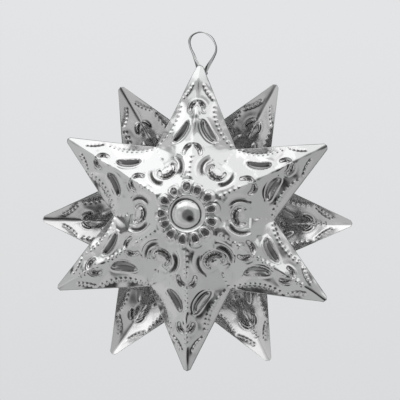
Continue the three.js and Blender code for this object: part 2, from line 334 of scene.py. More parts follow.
def distance_to_path(x, y, path):
    """Distance from each (x, y) to a line through the path's points, and how far along it that is."""
    best = np.full(x.shape, np.inf)
    share = np.zeros(x.shape)
    pieces = len(path) - 1
    for i in range(pieces):
        start = path[i]
        step = path[i + 1] - start
        along = np.clip(((x - start[0]) * step[0] + (y - start[1]) * step[1]) / (step @ step), 0.0, 1.0)
        away = np.hypot(x - start[0] - along * step[0], y - start[1] - along * step[1])
        nearer = away < best
        best = np.where(nearer, away, best)
        share = np.where(nearer, (i + along) / pieces, share)
    return best, share


def pressed(away, depth, wall, lip):
    """A flat-floored mark with a raised lip: away is the distance outside its outline, negative inside."""
    floor = -depth * (1 - smooth_step(away, -wall, WALL_FOOT))
    dish_depth, dish_start, dish_width = MARK_DISH
    dish = -dish_depth * hump(np.maximum(away - dish_start, 0.0), dish_width)
    lip_place, lip_width = LIP_PLACE
    return floor + lip * hump(away - lip_place, lip_width) + dish


# ======== where each star is
class Star:
    """One star of the pair: where it is, which way it faces, and where its points really lie."""

    def __init__(self, node, facing, notch_radius, unevenness, seed):
        self.node = node
        self.facing = facing  # -1 for the front star, which faces -Y, and +1 for the back star
        self.notch_radius = notch_radius
        self.unevenness = unevenness
        self.seed = seed
        low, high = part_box(node)
        self.rim_depth = (-high.y if facing < 0 else low.y) / MM
        corners = np.array([v.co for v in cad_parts[node].data.vertices]) / MM
        boss_top = corners[(facing * corners[:, 1]).argmax()]
        self.centre = np.array([boss_top[0], 0.0, boss_top[2]])
        self.read_points(corners - self.centre)

    def read_points(self, corners):
        """Reach and direction of the six points, from the CAD star's own corners."""
        across = -self.facing * corners[:, 0]
        up = corners[:, 2]
        radius = np.hypot(across, up)
        angle = np.arctan2(up, across)
        tips = np.flatnonzero(radius > TIP_SHARE * radius.max())
        first = min((angle[i] for i in tips), key=lambda a: abs(a - math.pi / 2 - HALF_SECTOR / 2))
        self.reaches = np.zeros(POINTS)
        self.angles = np.zeros(POINTS)
        for k in range(POINTS):
            nominal = first + 2 * HALF_SECTOR * k
            turned = (angle - nominal + math.pi) % FULL_TURN - math.pi
            sector = np.flatnonzero(np.abs(turned) < HALF_SECTOR)
            tip = sector[radius[sector].argmax()]
            self.reaches[k] = radius[tip]
            self.angles[k] = nominal + turned[tip]

    def valley_angle(self, k):
        """Direction of the valley that follows point k."""
        start, end = self.angles[k % POINTS], self.angles[(k + 1) % POINTS]
        return start + ((end - start) % FULL_TURN) / 2

    def place(self, across, up, height):
        """Plan coordinates and heights in mm, seen from outside, to the row frame in metres."""
        x = self.centre[0] - self.facing * across
        y = self.centre[1] + self.facing * (self.rim_depth + height)
        z = self.centre[2] + up
        return np.column_stack([x, y, z]) * MM


# ======== the flat grid of half a point
def even_steps(start, end, spacing, with_end):
    """Evenly spaced distances from start to end, as near to the wanted spacing as fits."""
    return np.linspace(start, end, round((end - start) / spacing) + with_end, endpoint=with_end)


def grid_rows(middle_spacing, spacing):
    """Rows of points over half of one flat point, from the centre out: each runs from the ridge sideways."""
    middle = even_steps(0, ROSETTE_RADIUS, middle_spacing, False)
    inner = even_steps(ROSETTE_RADIUS, KNEE_RADIUS, spacing, False)
    outer = even_steps(KNEE_RADIUS, REACH, spacing, True)
    rows = []
    for distance in np.concatenate([middle, inner, outer]):
        if distance < KNEE_RADIUS:
            on_side = NOTCH * distance / KNEE_RADIUS
        else:
            on_side = NOTCH + (TIP_SHOULDER - NOTCH) * (distance - KNEE_RADIUS) / (REACH - KNEE_RADIUS)
        on_ridge = np.array([distance, 0.0])
        width = np.linalg.norm(on_side - on_ridge)
        wanted = width / (middle_spacing if distance < ROSETTE_RADIUS else spacing)
        columns = max(1, round(wanted)) if distance > 0 else 0
        steps = np.linspace(0.0, 1.0, columns + 1)[:, None]
        rows.append(on_ridge + (on_side - on_ridge) * steps)
    return rows, len(middle) + len(inner)


def zip_rows(near, far):
    """Triangles between two rows of point numbers that may differ in length, seen from outside."""
    past_end = 2.0
    triangles = []
    i = j = 0
    while i < len(near) - 1 or j < len(far) - 1:
        next_near = (i + 1) / max(1, len(near) - 1) if i < len(near) - 1 else past_end
        next_far = (j + 1) / max(1, len(far) - 1) if j < len(far) - 1 else past_end
        if next_far <= next_near:
            triangles.append((near[i], far[j], far[j + 1]))
            j += 1
        else:
            triangles.append((near[i], far[j], near[i + 1]))
            i += 1
    return triangles


def flat_half_point(middle_spacing, spacing):
    """The grid's points, its triangles, and the point numbers along its free edge, notch to tip."""
    rows, knee_row = grid_rows(middle_spacing, spacing)
    first = np.cumsum([0] + [len(row) for row in rows])
    numbers = [list(range(first[i], first[i + 1])) for i in range(len(rows))]
    triangles = [t for near, far in zip(numbers, numbers[1:]) for t in zip_rows(near, far)]
    free_edge = [row[-1] for row in numbers[knee_row:]] + numbers[-1][-2::-1]
    return np.vstack(rows), np.array(triangles), free_edge


# ======== heights of the folded, punched sheet
class Layout:
    """Where the grid of half a point lies in the pattern, and how sharply it is marked."""

    def __init__(self, flat, k, side, lip, wall):
        self.x = flat[:, 0]
        self.y = side * flat[:, 1]
        self.k = k
        self.half = 2 * k + (side > 0)  # number of this half point, 0 to 11
        self.lip = lip
        self.wall = wall
        self.valley = k if side > 0 else (k - 1) % POINTS
        self.radius = np.hypot(self.x, self.y)
        self.angle = np.arctan2(self.y, self.x) + 2 * HALF_SECTOR * k
        self.across = self.radius * np.cos(self.angle)
        self.up = self.radius * np.sin(self.angle)
        turn = -side * HALF_SECTOR
        self.valley_x = self.x * math.cos(turn) - self.y * math.sin(turn)
        self.valley_y = self.x * math.sin(turn) + self.y * math.cos(turn)
        self.from_boss = np.hypot(self.across, self.up - BOSS_OFFSET)


def folded_height(layout):
    """The plain folded sheet: two roof facets to a point, a kite facet in each valley, a flat middle."""
    rounding = RIDGE_ROUNDING + INNER_RIDGE_ROUNDING * smooth_step(KNEE_RADIUS - layout.x, *INNER_RIDGE_FADE)
    sideways = np.sqrt(layout.y ** 2 + rounding ** 2) - rounding
    outer_slope = KNEE_HEIGHT / (REACH - KNEE_RADIUS)
    inner_slope = (DOME_HEIGHT - KNEE_HEIGHT) / (KNEE_RADIUS - DOME_RADIUS)
    knee_slant = (KNEE_RADIUS - NOTCH[0]) / NOTCH[1]
    roof_slope = KNEE_HEIGHT / NOTCH[1]
    along = layout.x + knee_slant * sideways
    bend = smooth_max(KNEE_RADIUS - along, 0.0, KNEE_ROUNDING)
    roof = KNEE_HEIGHT - outer_slope * (along - KNEE_RADIUS) - roof_slope * sideways
    roof = roof + (inner_slope - outer_slope) * bend
    hexagon_side = DOME_RADIUS * math.cos(HALF_SECTOR)
    kite_slope = (DOME_HEIGHT - KITE_HEIGHT) / (KITE_RADIUS - hexagon_side)
    kite = DOME_HEIGHT - kite_slope * (layout.valley_x - hexagon_side)
    return smooth_min(smooth_max(roof, kite, FOLD_ROUNDING), DOME_HEIGHT, FOLD_ROUNDING)


def boss_relief(layout):
    """The round boss in a ring groove, with the mark of the punch that centred it."""
    rise = 1 - np.minimum(layout.from_boss / BOSS_RADIUS, 1.0) ** 2
    groove_width = GROOVE_RADIUS - BOSS_RADIUS + GROOVE_OVERLAP
    outside = np.clip((layout.radius - BOSS_RADIUS + GROOVE_OVERLAP) / groove_width, 0.0, 1.0)
    floor = -GROOVE_DEPTH * (1 - outside ** GROOVE_POWER)
    lip_height, lip_place, lip_width = GROOVE_LIP
    lip = lip_height * hump(layout.radius - GROOVE_RADIUS - lip_place, lip_width)
    marks = sum(height * hump(np.hypot(layout.across - across, layout.up - up), width)
                for across, up, height, width in CENTRE_MARKS)
    return floor + (BOSS_HEIGHT + GROOVE_DEPTH) * rise + lip + marks


def petal_relief(layout, jitter):
    """The ring of oval petals, knurled hollows with raised rims, and their knurl and painted shade."""
    pitch = FULL_TURN / PETALS
    number = np.round((layout.angle - PETAL_TURN) / pitch).astype(int) % PETALS
    wobble = jitter["petal"][number]
    tangential = (layout.angle - PETAL_TURN - pitch * number + math.pi) % FULL_TURN - math.pi
    tangential = tangential * PETAL_RING_RADIUS + wobble[:, 0]
    radial = layout.radius - PETAL_RING_RADIUS + wobble[:, 1]
    length_share = np.abs(radial / PETAL_HALF_LENGTH)
    width_share = np.abs(tangential / PETAL_HALF_WIDTH)
    oval = (length_share ** PETAL_POWER + width_share ** PETAL_POWER) ** (1 / PETAL_POWER)
    away = (oval - 1.0) * PETAL_HALF_WIDTH
    relief = np.interp(away, *zip(*PETAL_PROFILE))
    relief *= smooth_step(layout.radius, GROOVE_RADIUS, GROOVE_RADIUS + PETAL_EDGE)
    strength, fade_start, fade_end = PETAL_KNURL_AND_SHADE
    return relief, strength * (1 - smooth_step(away, fade_start, fade_end))


def bead_row(x, y, places, height=BEAD_HEIGHT, radius=BEAD_RADIUS):
    """Round beads at the given places, or round pits where the height is negative."""
    nearest = np.full(x.shape, np.inf)
    for place in places:
        nearest = np.minimum(nearest, np.hypot(x - place[0], y - place[1]))
    return height * hump(nearest, radius)


def scallop_bow(share):
    """How far inside the free edge the scallop line runs, at a share of the edge counted from the tip."""
    outer = np.clip((share - SCALLOP_START) / (SCALLOP_SPLIT - SCALLOP_START), 0.0, 1.0)
    inner = np.clip((share - SCALLOP_SPLIT) / (1 - SCALLOP_SPLIT), 0.0, 1.0)
    outer_bow = SCALLOP_BOWS[0] * np.sin(math.pi * outer) ** SCALLOP_POWER
    inner_bow = SCALLOP_BOWS[1] * np.abs(np.sin(math.pi * inner)) ** SCALLOP_POWER
    return np.where(share < SCALLOP_SPLIT, outer_bow, inner_bow) + SCALLOP_INSET


def edge_bead_places():
    """Where the beads of both scallops lie, on the scallop line."""
    edge = NOTCH - TIP_SHOULDER
    inward = np.array([-edge[1], edge[0]]) / np.linalg.norm(edge)
    places = []
    for (start, count), end in zip(EDGE_BEADS, (SCALLOP_SPLIT, 1.0)):
        for share in start + (end - start) * (np.arange(count) + EDGE_BEAD_START) / count:
            places.append(TIP_SHOULDER + edge * share + inward * float(scallop_bow(share)))
    return places


def border_relief(layout, jitter):
    """Two beaded scallops along the free edge, with the strip outside them bent further back."""
    x, y = layout.x, np.abs(layout.y)
    edge = NOTCH - TIP_SHOULDER
    length = np.linalg.norm(edge)
    share = ((x - TIP_SHOULDER[0]) * edge[0] + (y - TIP_SHOULDER[1]) * edge[1]) / length ** 2
    inset = np.abs((x - NOTCH[0]) * edge[1] - (y - NOTCH[1]) * edge[0]) / length
    bow = scallop_bow(share)
    uneven = np.ones(share.shape)
    for (strength, waves), phase in zip(STRIP_WAVES, jitter["border"][layout.half]):
        uneven += strength * np.sin(FULL_TURN * (share * waves + 2 * phase))
    crest = STRIP_SLOPE * bow * uneven * smooth_step(share, *CREST_FADE)
    least, spread, most_added = CREST_REACH
    half_width = inset + y
    added = np.clip(spread * half_width - least, 0.0, most_added) * smooth_step(share, *CREST_SPREAD_FADE)
    inner_fall = crest * hump(inset - bow, least + added)
    relief = np.where(inset < bow, crest * inset / bow, inner_fall)
    return relief + bead_row(x, y, edge_bead_places())


def bean_relief(layout, jitter):
    """The two bean-shaped bowls of a point, bowed on the side by the ridge, and a painted shade line round
    each.
    """
    shift = jitter["bean"][layout.half]
    x, y = layout.x - BEAN_CENTRE[0] - shift[0], np.abs(layout.y) - BEAN_CENTRE[1] - shift[1]
    along = x * math.cos(BEAN_TILT) + y * math.sin(BEAN_TILT)
    inward = x * math.sin(BEAN_TILT) - y * math.cos(BEAN_TILT)
    half_length = BEAN_LENGTH / 2
    share = np.minimum(np.abs(along) / half_length, 1.0)
    middle = BEAN_BOW[0] - BEAN_BOW[1] * share ** 2
    half_width = BEAN_HALF_WIDTH * (1 - share ** BEAN_POWERS[0]) ** BEAN_POWERS[1]
    bowed_side = middle + half_width
    straight_side = middle - half_width
    ends = smooth_step(half_length - np.abs(along), *BEAN_END_FADE)
    across = (bowed_side - inward) / np.maximum(2 * half_width, BEAN_LEAST_WIDTH)
    bowl = smooth_step(across, *BEAN_STEEP_FADE) * (1 - smooth_step(across, *BEAN_GENTLE_FADE))
    past_side = np.maximum(inward - bowed_side, straight_side - inward)
    outside = np.maximum(past_side, np.abs(along) - half_length)
    dish_depth, dish_start, dish_width = BEAN_DISH
    dish = -dish_depth * hump(np.maximum(outside - dish_start, 0.0), dish_width)
    lip = layout.lip * hump(outside - BEAN_LIP[0], BEAN_LIP[1])
    # a thin dark line of painted shade in the crease round the bean
    shade_line = hump(outside - BEAN_SHADE_LINE[0], BEAN_SHADE_LINE[1])
    return -BEAN_DEPTH * ends * bowl + dish + lip, MARK_KNURL_AND_SHADE * shade_line


def arch_relief(layout, jitter, kind):
    """A horseshoe of two scooped commas over the ridge, open towards the centre, and its knurl and painted
    shade.
    """
    centre_x, half_x, half_y, half_width, depth, span = ARCHES[kind]
    shift = jitter[kind][layout.k]
    x, y = layout.x - shift[0], layout.y - shift[1]
    away, along = distance_to_path(x, y, ellipse_arc((centre_x, 0.0), half_x, half_y, -span, span))
    crossing_share, crossing_loss = ARCH_CROSSING
    crossing = hump(2 * along - 1, crossing_share)
    at_crossing, at_ends, end_power = ARCH_NARROWING
    width = half_width * (1 - at_crossing * crossing - at_ends * np.abs(2 * along - 1) ** end_power)
    groove = pressed(away - width, depth, layout.wall, layout.lip) * (1 - crossing_loss * crossing)
    pillow_height, pillow_shift, pillow_gap = ARCH_PILLOW
    from_pillow = np.hypot((x - centre_x + pillow_shift) / (half_x - pillow_gap), y / (half_y - pillow_gap))
    pillow = pillow_height * (1 - smooth_step(from_pillow, *ARCH_PILLOW_FADE))
    fade_start, fade_end = ARCH_KNURL_AND_SHADE_FADE
    # knurl in the groove, darkened further with painted shade
    knurled = (1 - smooth_step(away, fade_start * half_width, fade_end * half_width)) * (1 - crossing)
    return groove + pillow, MARK_KNURL_AND_SHADE * knurled


def letter_relief(x, y, layout):
    """The C of a swirl, open outwards round a pillow and creased across its gap, and its knurl and painted
    shade.
    """
    arc = ellipse_arc((SWIRL_CENTRE, 0.0), *LETTER_SIZE, *LETTER_SPAN, LETTER_STEPS)
    away, along = distance_to_path(x, y, arc)
    width = LETTER_HALF_WIDTH * (1 - LETTER_NARROWING * np.abs(2 * along - 1) ** 2)
    groove = pressed(away - width, LETTER_DEPTH, layout.wall, layout.lip)
    pillow_height, pillow_shift, pillow_x, pillow_y = LETTER_PILLOW
    from_pillow = np.hypot((x - SWIRL_CENTRE - pillow_shift) / pillow_x, y / pillow_y)
    pillow = pillow_height * np.clip(1 - from_pillow ** 2, 0.0, 1.0)
    gap, _ = distance_to_path(x, y, np.array(GAP_CREASE) + (SWIRL_CENTRE, 0.0))
    crease_height, crease_width = GAP_CREASE_SIZE
    relief = groove + pillow + crease_height * hump(gap, crease_width)
    return relief, MARK_KNURL_AND_SHADE * (1 - smooth_step(away - width, *LETTER_KNURL_AND_SHADE_FADE))


def side_arc_relief(x, y):
    """The two arcs beside a swirl's letter, with the sheet swollen beyond them, and painted shade in their
    creases.
    """
    arc = ellipse_arc((SIDE_ARC_CENTRE, 0.0), *SIDE_ARC_SIZE, *SIDE_ARC_SPAN)
    away, along = distance_to_path(x, np.abs(y), arc)
    outside = np.hypot((x - SIDE_ARC_CENTRE) / SIDE_ARC_SIZE[0], y / SIDE_ARC_SIZE[1]) > 1
    wall, swell_place, swell_width = (np.where(outside, *pair)
                                      for pair in zip(SIDE_ARC_OUTSIDE, SIDE_ARC_INSIDE))
    taper = 1 - np.abs(2 * along - 1) ** SIDE_ARC_TAPER
    groove = -SIDE_ARC_DEPTH * (1 - smooth_step(away, 0.0, wall)) * taper
    swell = SIDE_ARC_SWELL * hump(away - swell_place, swell_width)
    # the second value is painted shade in the arcs' creases
    return groove + swell * taper, (1 - smooth_step(away, *SIDE_ARC_SHADE_FADE)) * taper


def swirl_relief(layout, jitter):
    """The mark on each kite facet, a C between two arcs, and its knurl and painted shade."""
    shift = jitter["swirl"][layout.valley]
    x, y = layout.valley_x - shift[0], layout.valley_y - shift[1]
    letter, letter_knurl_and_shade = letter_relief(x, y, layout)
    arcs, crease_shade = side_arc_relief(x, y)
    return letter + arcs, np.maximum(letter_knurl_and_shade, crease_shade)


def places_along(first, spacing, count, left_out=()):
    """Evenly spaced places along a crease."""
    return [(first + spacing * i, 0.0) for i in range(count) if i not in left_out]


def crease_beads(layout, beaded_ridge):
    """Beads along the inner ridge and the outer valley, and along the whole ridge of some points."""
    ridge_places = places_along(*RIDGE_BEADS)
    if beaded_ridge:
        ridge_places += places_along(*OUTER_RIDGE_BEADS, FLATTENED_BEADS)
    beads = bead_row(layout.x, layout.y, ridge_places, *RIDGE_BEAD_SIZE)
    beads += bead_row(layout.valley_x, layout.valley_y, places_along(*VALLEY_BEADS), *VALLEY_BEAD_SIZE)
    beads += bead_row(layout.valley_x, layout.valley_y, [(VALLEY_PIT, 0.0)], *VALLEY_PIT_SIZE)
    beads += bead_row(layout.x, layout.y, [(RIDGE_PIT, 0.0)], *RIDGE_PIT_SIZE)
    return beads


def sheet_waves(star, across, up):
    """Slow unevenness left by cutting, folding and punching the thin sheet by hand."""
    rng = np.random.default_rng(star.seed + WAVE_SEED)
    heights = np.zeros(len(across))
    for length in WAVE_LENGTHS:
        turn, phase = rng.uniform(0, FULL_TURN, 2)
        along = across * math.cos(turn) + up * math.sin(turn)
        heights += star.unevenness * length * np.sin(FULL_TURN * along / length + phase)
    return heights


def hand_jitter(star):
    """Small misplacements of each punch mark, in mm."""
    rng = np.random.default_rng(star.seed)
    counts = {"petal": PETALS, "bean": 2 * POINTS, "tip": POINTS, "base": POINTS, "swirl": POINTS,
              "border": 2 * POINTS}
    return {name: rng.normal(0.0, PUNCH_SCATTER, (count, 2)) for name, count in counts.items()}


def punched_heights(layout, jitter, beaded_ridge):
    """Relief of all the punch marks together, and the knurl and painted shade at each point."""
    petals, petal_knurl_and_shade = petal_relief(layout, jitter)
    tip_arch, tip_knurl_and_shade = arch_relief(layout, jitter, "tip")
    base_arch, base_knurl_and_shade = arch_relief(layout, jitter, "base")
    swirl, swirl_knurl_and_shade = swirl_relief(layout, jitter)
    beans, bean_shade_line = bean_relief(layout, jitter)
    relief = boss_relief(layout) + petals + tip_arch + base_arch + swirl
    relief += border_relief(layout, jitter) + beans + crease_beads(layout, beaded_ridge)
    # a thin dark line of painted shade round the boss's edge
    strength, edge_place, edge_width = BOSS_EDGE_SHADE
    boss_edge_shade = strength * hump(layout.from_boss - BOSS_RADIUS - edge_place, edge_width)
    knurl_and_shade = np.maximum.reduce([petal_knurl_and_shade, boss_edge_shade, swirl_knurl_and_shade, tip_knurl_and_shade, base_knurl_and_shade, bean_shade_line])
    return relief, knurl_and_shade


# ======== building a star
def half_point_plan(star, flat, k, side):
    """Plan places of half a point, stretched to this point's own reach, direction and notch."""
    ridge = star.angles[k]
    valley = star.valley_angle(k if side > 0 else k - 1)
    along_valley = flat[:, 1] / math.sin(HALF_SECTOR)
    along_ridge = flat[:, 0] - along_valley * math.cos(HALF_SECTOR)
    along_ridge = along_ridge * star.reaches[k] / REACH
    along_valley = along_valley * star.notch_radius / NOTCH_RADIUS
    across = along_ridge * math.cos(ridge) + along_valley * math.cos(valley)
    up = along_ridge * math.sin(ridge) + along_valley * math.sin(valley)
    return across, up


def sheet_layer(star, spacings, beaded_points, drop):
    """One side of the sheet, lowered by drop: its vertices, faces, free edges, knurl and painted shade, and
    relief.
    """
    flat, triangles, free_edge = flat_half_point(*spacings)
    jitter = hand_jitter(star)
    vertices, faces, edges, knurls_and_shade, reliefs = [], [], [], [], []
    for k in range(POINTS):
        for side in (1, -1):
            first = len(vertices) * len(flat)
            layout = Layout(flat, k, side, *(INNER_MARKS if drop else OUTER_MARKS))
            across, up = half_point_plan(star, flat, k, side)
            relief, knurl_and_shade = punched_heights(layout, jitter, k in beaded_points)
            waves = sheet_waves(star, across, up) * smooth_step(layout.radius, *WAVE_FADE)
            vertices.append(star.place(across, up, folded_height(layout) + relief + waves + SHEET - drop))
            faces.append((triangles if side > 0 else triangles[:, ::-1]) + first)
            edges.append([number + first for number in free_edge])
            knurls_and_shade.append(INNER_KNURL_AND_SHADE * knurl_and_shade if drop else knurl_and_shade)
            reliefs.append(-relief if drop else relief)
    return np.vstack(vertices), np.vstack(faces), edges, np.concatenate(knurls_and_shade), np.concatenate(reliefs)


def star_arrays(star, outer_spacings, inner_spacings, beaded_points):
    """Vertices and faces of a closed star, and the wear and painted light and shade at each vertex, as its
    material reads it.
    """
    outer, outer_faces, outer_edges, outer_knurl_and_shade, outer_relief = sheet_layer(
        star, outer_spacings, beaded_points, 0.0)
    inner, inner_faces, inner_edges, inner_knurl_and_shade, inner_relief = sheet_layer(
        star, inner_spacings, beaded_points, SHEET)
    rim = []
    for i, (top, bottom) in enumerate(zip(outer_edges, inner_edges)):
        strip = np.array(zip_rows(top, [number + len(outer) for number in bottom]))
        rim.append(strip[:, ::-1] if i % 2 else strip)
    faces = np.vstack([outer_faces, inner_faces[:, ::-1] + len(outer)] + rim)
    relief = np.concatenate([outer_relief, inner_relief])
    # knurl and painted shade; depth, for tarnish and painted shade in the hollows; raised marks, rubbed and
    # given a painted highlight; the inside, lightened with painted light
    wear_and_painted_light = {
        "knurl_and_shade": np.concatenate([outer_knurl_and_shade, inner_knurl_and_shade]),
        "hollow": np.clip(-relief, 0.0, DEEPEST_HOLLOW),
        "raised": smooth_step(relief, *RAISED_FADE) * (relief < RAISED_LIMIT),
        "inside": np.repeat([0.0, 1.0], [len(outer), len(inner)]),
    }
    return np.vstack([outer, inner]), faces, wear_and_painted_light


def sheet_mesh(name, vertices, faces, wear_and_painted_light):
    """A smooth-shaded mesh from arrays, with coinciding vertices joined and the wear and painted light and
    shade as attributes.
    """
    mesh = bpy.data.meshes.new(name)
    mesh.from_pydata(vertices.tolist(), [], faces.tolist())
    for label, values in wear_and_painted_light.items():
        layer = mesh.attributes.new(label, "FLOAT", "POINT")
        layer.data.foreach_set("value", values.astype(np.float32))
    solid = bmesh.new()
    solid.from_mesh(mesh)
    bmesh.ops.remove_doubles(solid, verts=solid.verts, dist=MERGE_DISTANCE)
    solid.to_mesh(mesh)
    solid.free()
    mesh.shade_smooth()
    return mesh


def add_piece(name, mesh, material, node):
    """Put a finished mesh in the scene, in the place of one CAD node."""
    mesh.materials.append(material)
    piece = bpy.data.objects.new(name, mesh)
    bpy.context.scene.collection.objects.link(piece)
    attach(piece, "root")
    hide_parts(node)


def make_star(star, name, outer_spacings, inner_spacings, beaded_points, material):
    """One punched star, as a closed sheet."""
    vertices, faces, wear_and_painted_light = star_arrays(star, outer_spacings, inner_spacings, beaded_points)
    add_piece(name, sheet_mesh(name, vertices, faces, wear_and_painted_light), material, star.node)


# ======== hanging loop
def smooth_route(bends, steps):
    """A smooth curve through all the bends, as a Catmull-Rom spline with even steps between them."""
    bends = np.array(bends, dtype=float)
    padded = np.vstack([2 * bends[0] - bends[1], bends, 2 * bends[-1] - bends[-2]])
    t = np.linspace(0, 1, steps, endpoint=False)[:, None]
    route = []
    for before, start, end, after in zip(padded, padded[1:], padded[2:], padded[3:]):
        slope = end - before
        curve = 2 * before - 5 * start + 4 * end - after
        rest = 3 * start - before - 3 * end + after
        route.append(0.5 * (2 * start + slope * t + curve * t ** 2 + rest * t ** 3))
    return np.vstack(route + [bends[-1:]])


def strip_section():
    """Corners of the strip's cross-section: a flat bar with its four edges rubbed round."""
    u = STRIP_WIDTH / 2
    v = STRIP_THICKNESS / 2
    r = STRIP_ROUNDING
    return [(-u, r - v), (r - u, -v), (0.0, -v), (u - r, -v), (u, r - v),
            (u, v - r), (u - r, v), (0.0, v), (r - u, v), (-u, v - r)]


def strip_rings(front, section):
    """The strip's cross-section at every step of its route, bent, twisted and a little uneven."""
    route = smooth_route(LOOP_BENDS, STEPS_PER_BEND)
    travel = np.gradient(route[:, :2], axis=0)
    tip_height = front.centre[2] + front.reaches[0]
    noise.seed_set(STRIP_SEED)
    rings = []
    for (right, up, twist), (step_right, step_up) in zip(route, travel):
        twist = math.radians(twist)
        out = Vector((-step_up, 0, step_right)).normalized()
        depth = Vector((0, 1, 0))
        across = depth * math.cos(twist) + out * math.sin(twist)
        facing = out * math.cos(twist) - depth * math.sin(twist)
        place = Vector((right / STRIP_WOBBLE_LENGTH, STRIP_WOBBLE_PLACE, up / STRIP_WOBBLE_LENGTH))
        wobble = STRIP_WOBBLE * noise.noise_vector(place)
        middle = Vector((right, STRIP_SETBACK, tip_height + up)) + wobble
        rings.append([middle + across * u + facing * v for u, v in section])
    return rings


def make_loop(front, material):
    """The bent and twisted strip: edge on at its top, its two ends flat against the top point."""
    section = strip_section()
    rings = strip_rings(front, section)
    corners = len(section)
    last_ring = corners * (len(rings) - 1)
    faces = [list(range(corners))[::-1]]
    for base in range(0, last_ring, corners):
        for i in range(corners):
            following = (i + 1) % corners
            faces.append([base + i, base + following, base + corners + following, base + corners + i])
    faces.append([last_ring + i for i in range(corners)])
    mesh = bpy.data.meshes.new("hanging_strip")
    mesh.from_pydata([p * MM for ring in rings for p in ring], [], faces)
    solid = bmesh.new()
    solid.from_mesh(mesh)
    bmesh.ops.recalc_face_normals(solid, faces=solid.faces)
    solid.to_mesh(mesh)
    solid.free()
    mesh.shade_smooth()
    mesh.set_sharp_from_angle(angle=STRIP_SHARP_ANGLE)
    add_piece("hanging_strip", mesh, material, "hanging_loop")


# ======== solder
def make_puddle(name, node, half_sizes, seed, material):
    """A drop of solder that has run and frozen: a flattened, lumpy, closed blob."""
    low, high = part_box(node)
    middle = (low + high) / 2
    broad_height, broad_rate = BROAD_LUMPS
    fine_height, fine_rate = FINE_LUMPS
    blob = bmesh.new()
    bmesh.ops.create_icosphere(blob, subdivisions=DROP_SUBDIVISIONS, radius=1.0)
    for vertex in blob.verts:
        direction = vertex.co.normalized()
        lump = 1 + broad_height * noise.noise(direction * broad_rate + Vector((seed, 0, 0)))
        lump += fine_height * noise.noise(direction * fine_rate + Vector((0, seed, 0)))
        vertex.co = Vector(half_sizes) * MM * lump * direction + middle
    mesh = bpy.data.meshes.new(name)
    blob.to_mesh(mesh)
    blob.free()
    mesh.shade_smooth()
    add_piece(name, mesh, material, node)


# ======== materials
class Nodes:
    """A short way to add nodes to the node tree of a material or a world, and to join them up."""

    def __init__(self, owner):
        owner.use_nodes = True
        self.owner = owner
        self.tree = owner.node_tree

    def add(self, kind, values=None, **settings):
        """A new node, with its settings and inputs."""
        node = self.tree.nodes.new(kind)
        for key, value in settings.items():
            setattr(node, key, value)
        self.feed(node, values or {})
        return node

    def feed(self, node, values):
        """Set inputs of a node, or join them to other nodes."""
        for socket, value in values.items():
            if isinstance(value, bpy.types.NodeSocket):
                self.tree.links.new(value, node.inputs[socket])
            else:
                node.inputs[socket].default_value = value

    def place(self):
        """The place on the object, in metres."""
        return self.add("ShaderNodeTexCoord").outputs["Object"]

    def attribute(self, name):
        """A measure of wear, stored on the mesh."""
        return self.add("ShaderNodeAttribute", attribute_name=name).outputs["Fac"]

    def noise(self, place, scale, detail, roughness=0.5):
        """Cloudy noise from 0 to 1."""
        values = {"Vector": place, "Scale": scale, "Detail": detail, "Roughness": roughness}
        return self.add("ShaderNodeTexNoise", values).outputs["Fac"]

    def spread(self, value, old_range, new_range, **settings):
        """The value moved from the old range to the new one, and held at its ends."""
        values = {"Value": value, "From Min": old_range[0], "From Max": old_range[1],
                  "To Min": new_range[0], "To Max": new_range[1]}
        return self.add("ShaderNodeMapRange", values, **settings).outputs["Result"]

    def maths(self, operation, *values, **settings):
        """One sum on two or three values."""
        node = self.add("ShaderNodeMath", dict(enumerate(values)), operation=operation, **settings)
        return node.outputs[0]

    def mix_colours(self, share, first, second):
        """The first colour where share is 0, the second where it is 1."""
        values = {"Factor": share, "A": first, "B": second}
        return self.add("ShaderNodeMix", values, data_type="RGBA").outputs["Result"]

    def bump(self, height, strength, **normal):
        """A bumped normal, on top of another one if it is given."""
        values = {"Strength": strength, "Distance": BUMP_HEIGHT, "Height": height, **normal}
        return self.add("ShaderNodeBump", values).outputs[0]

    def finish(self, **looks):
        """Give the material's shader its looks."""
        shader = self.tree.nodes["Principled BSDF"]
        self.feed(shader, {name.replace("_", " "): value for name, value in looks.items()})
        return self.owner


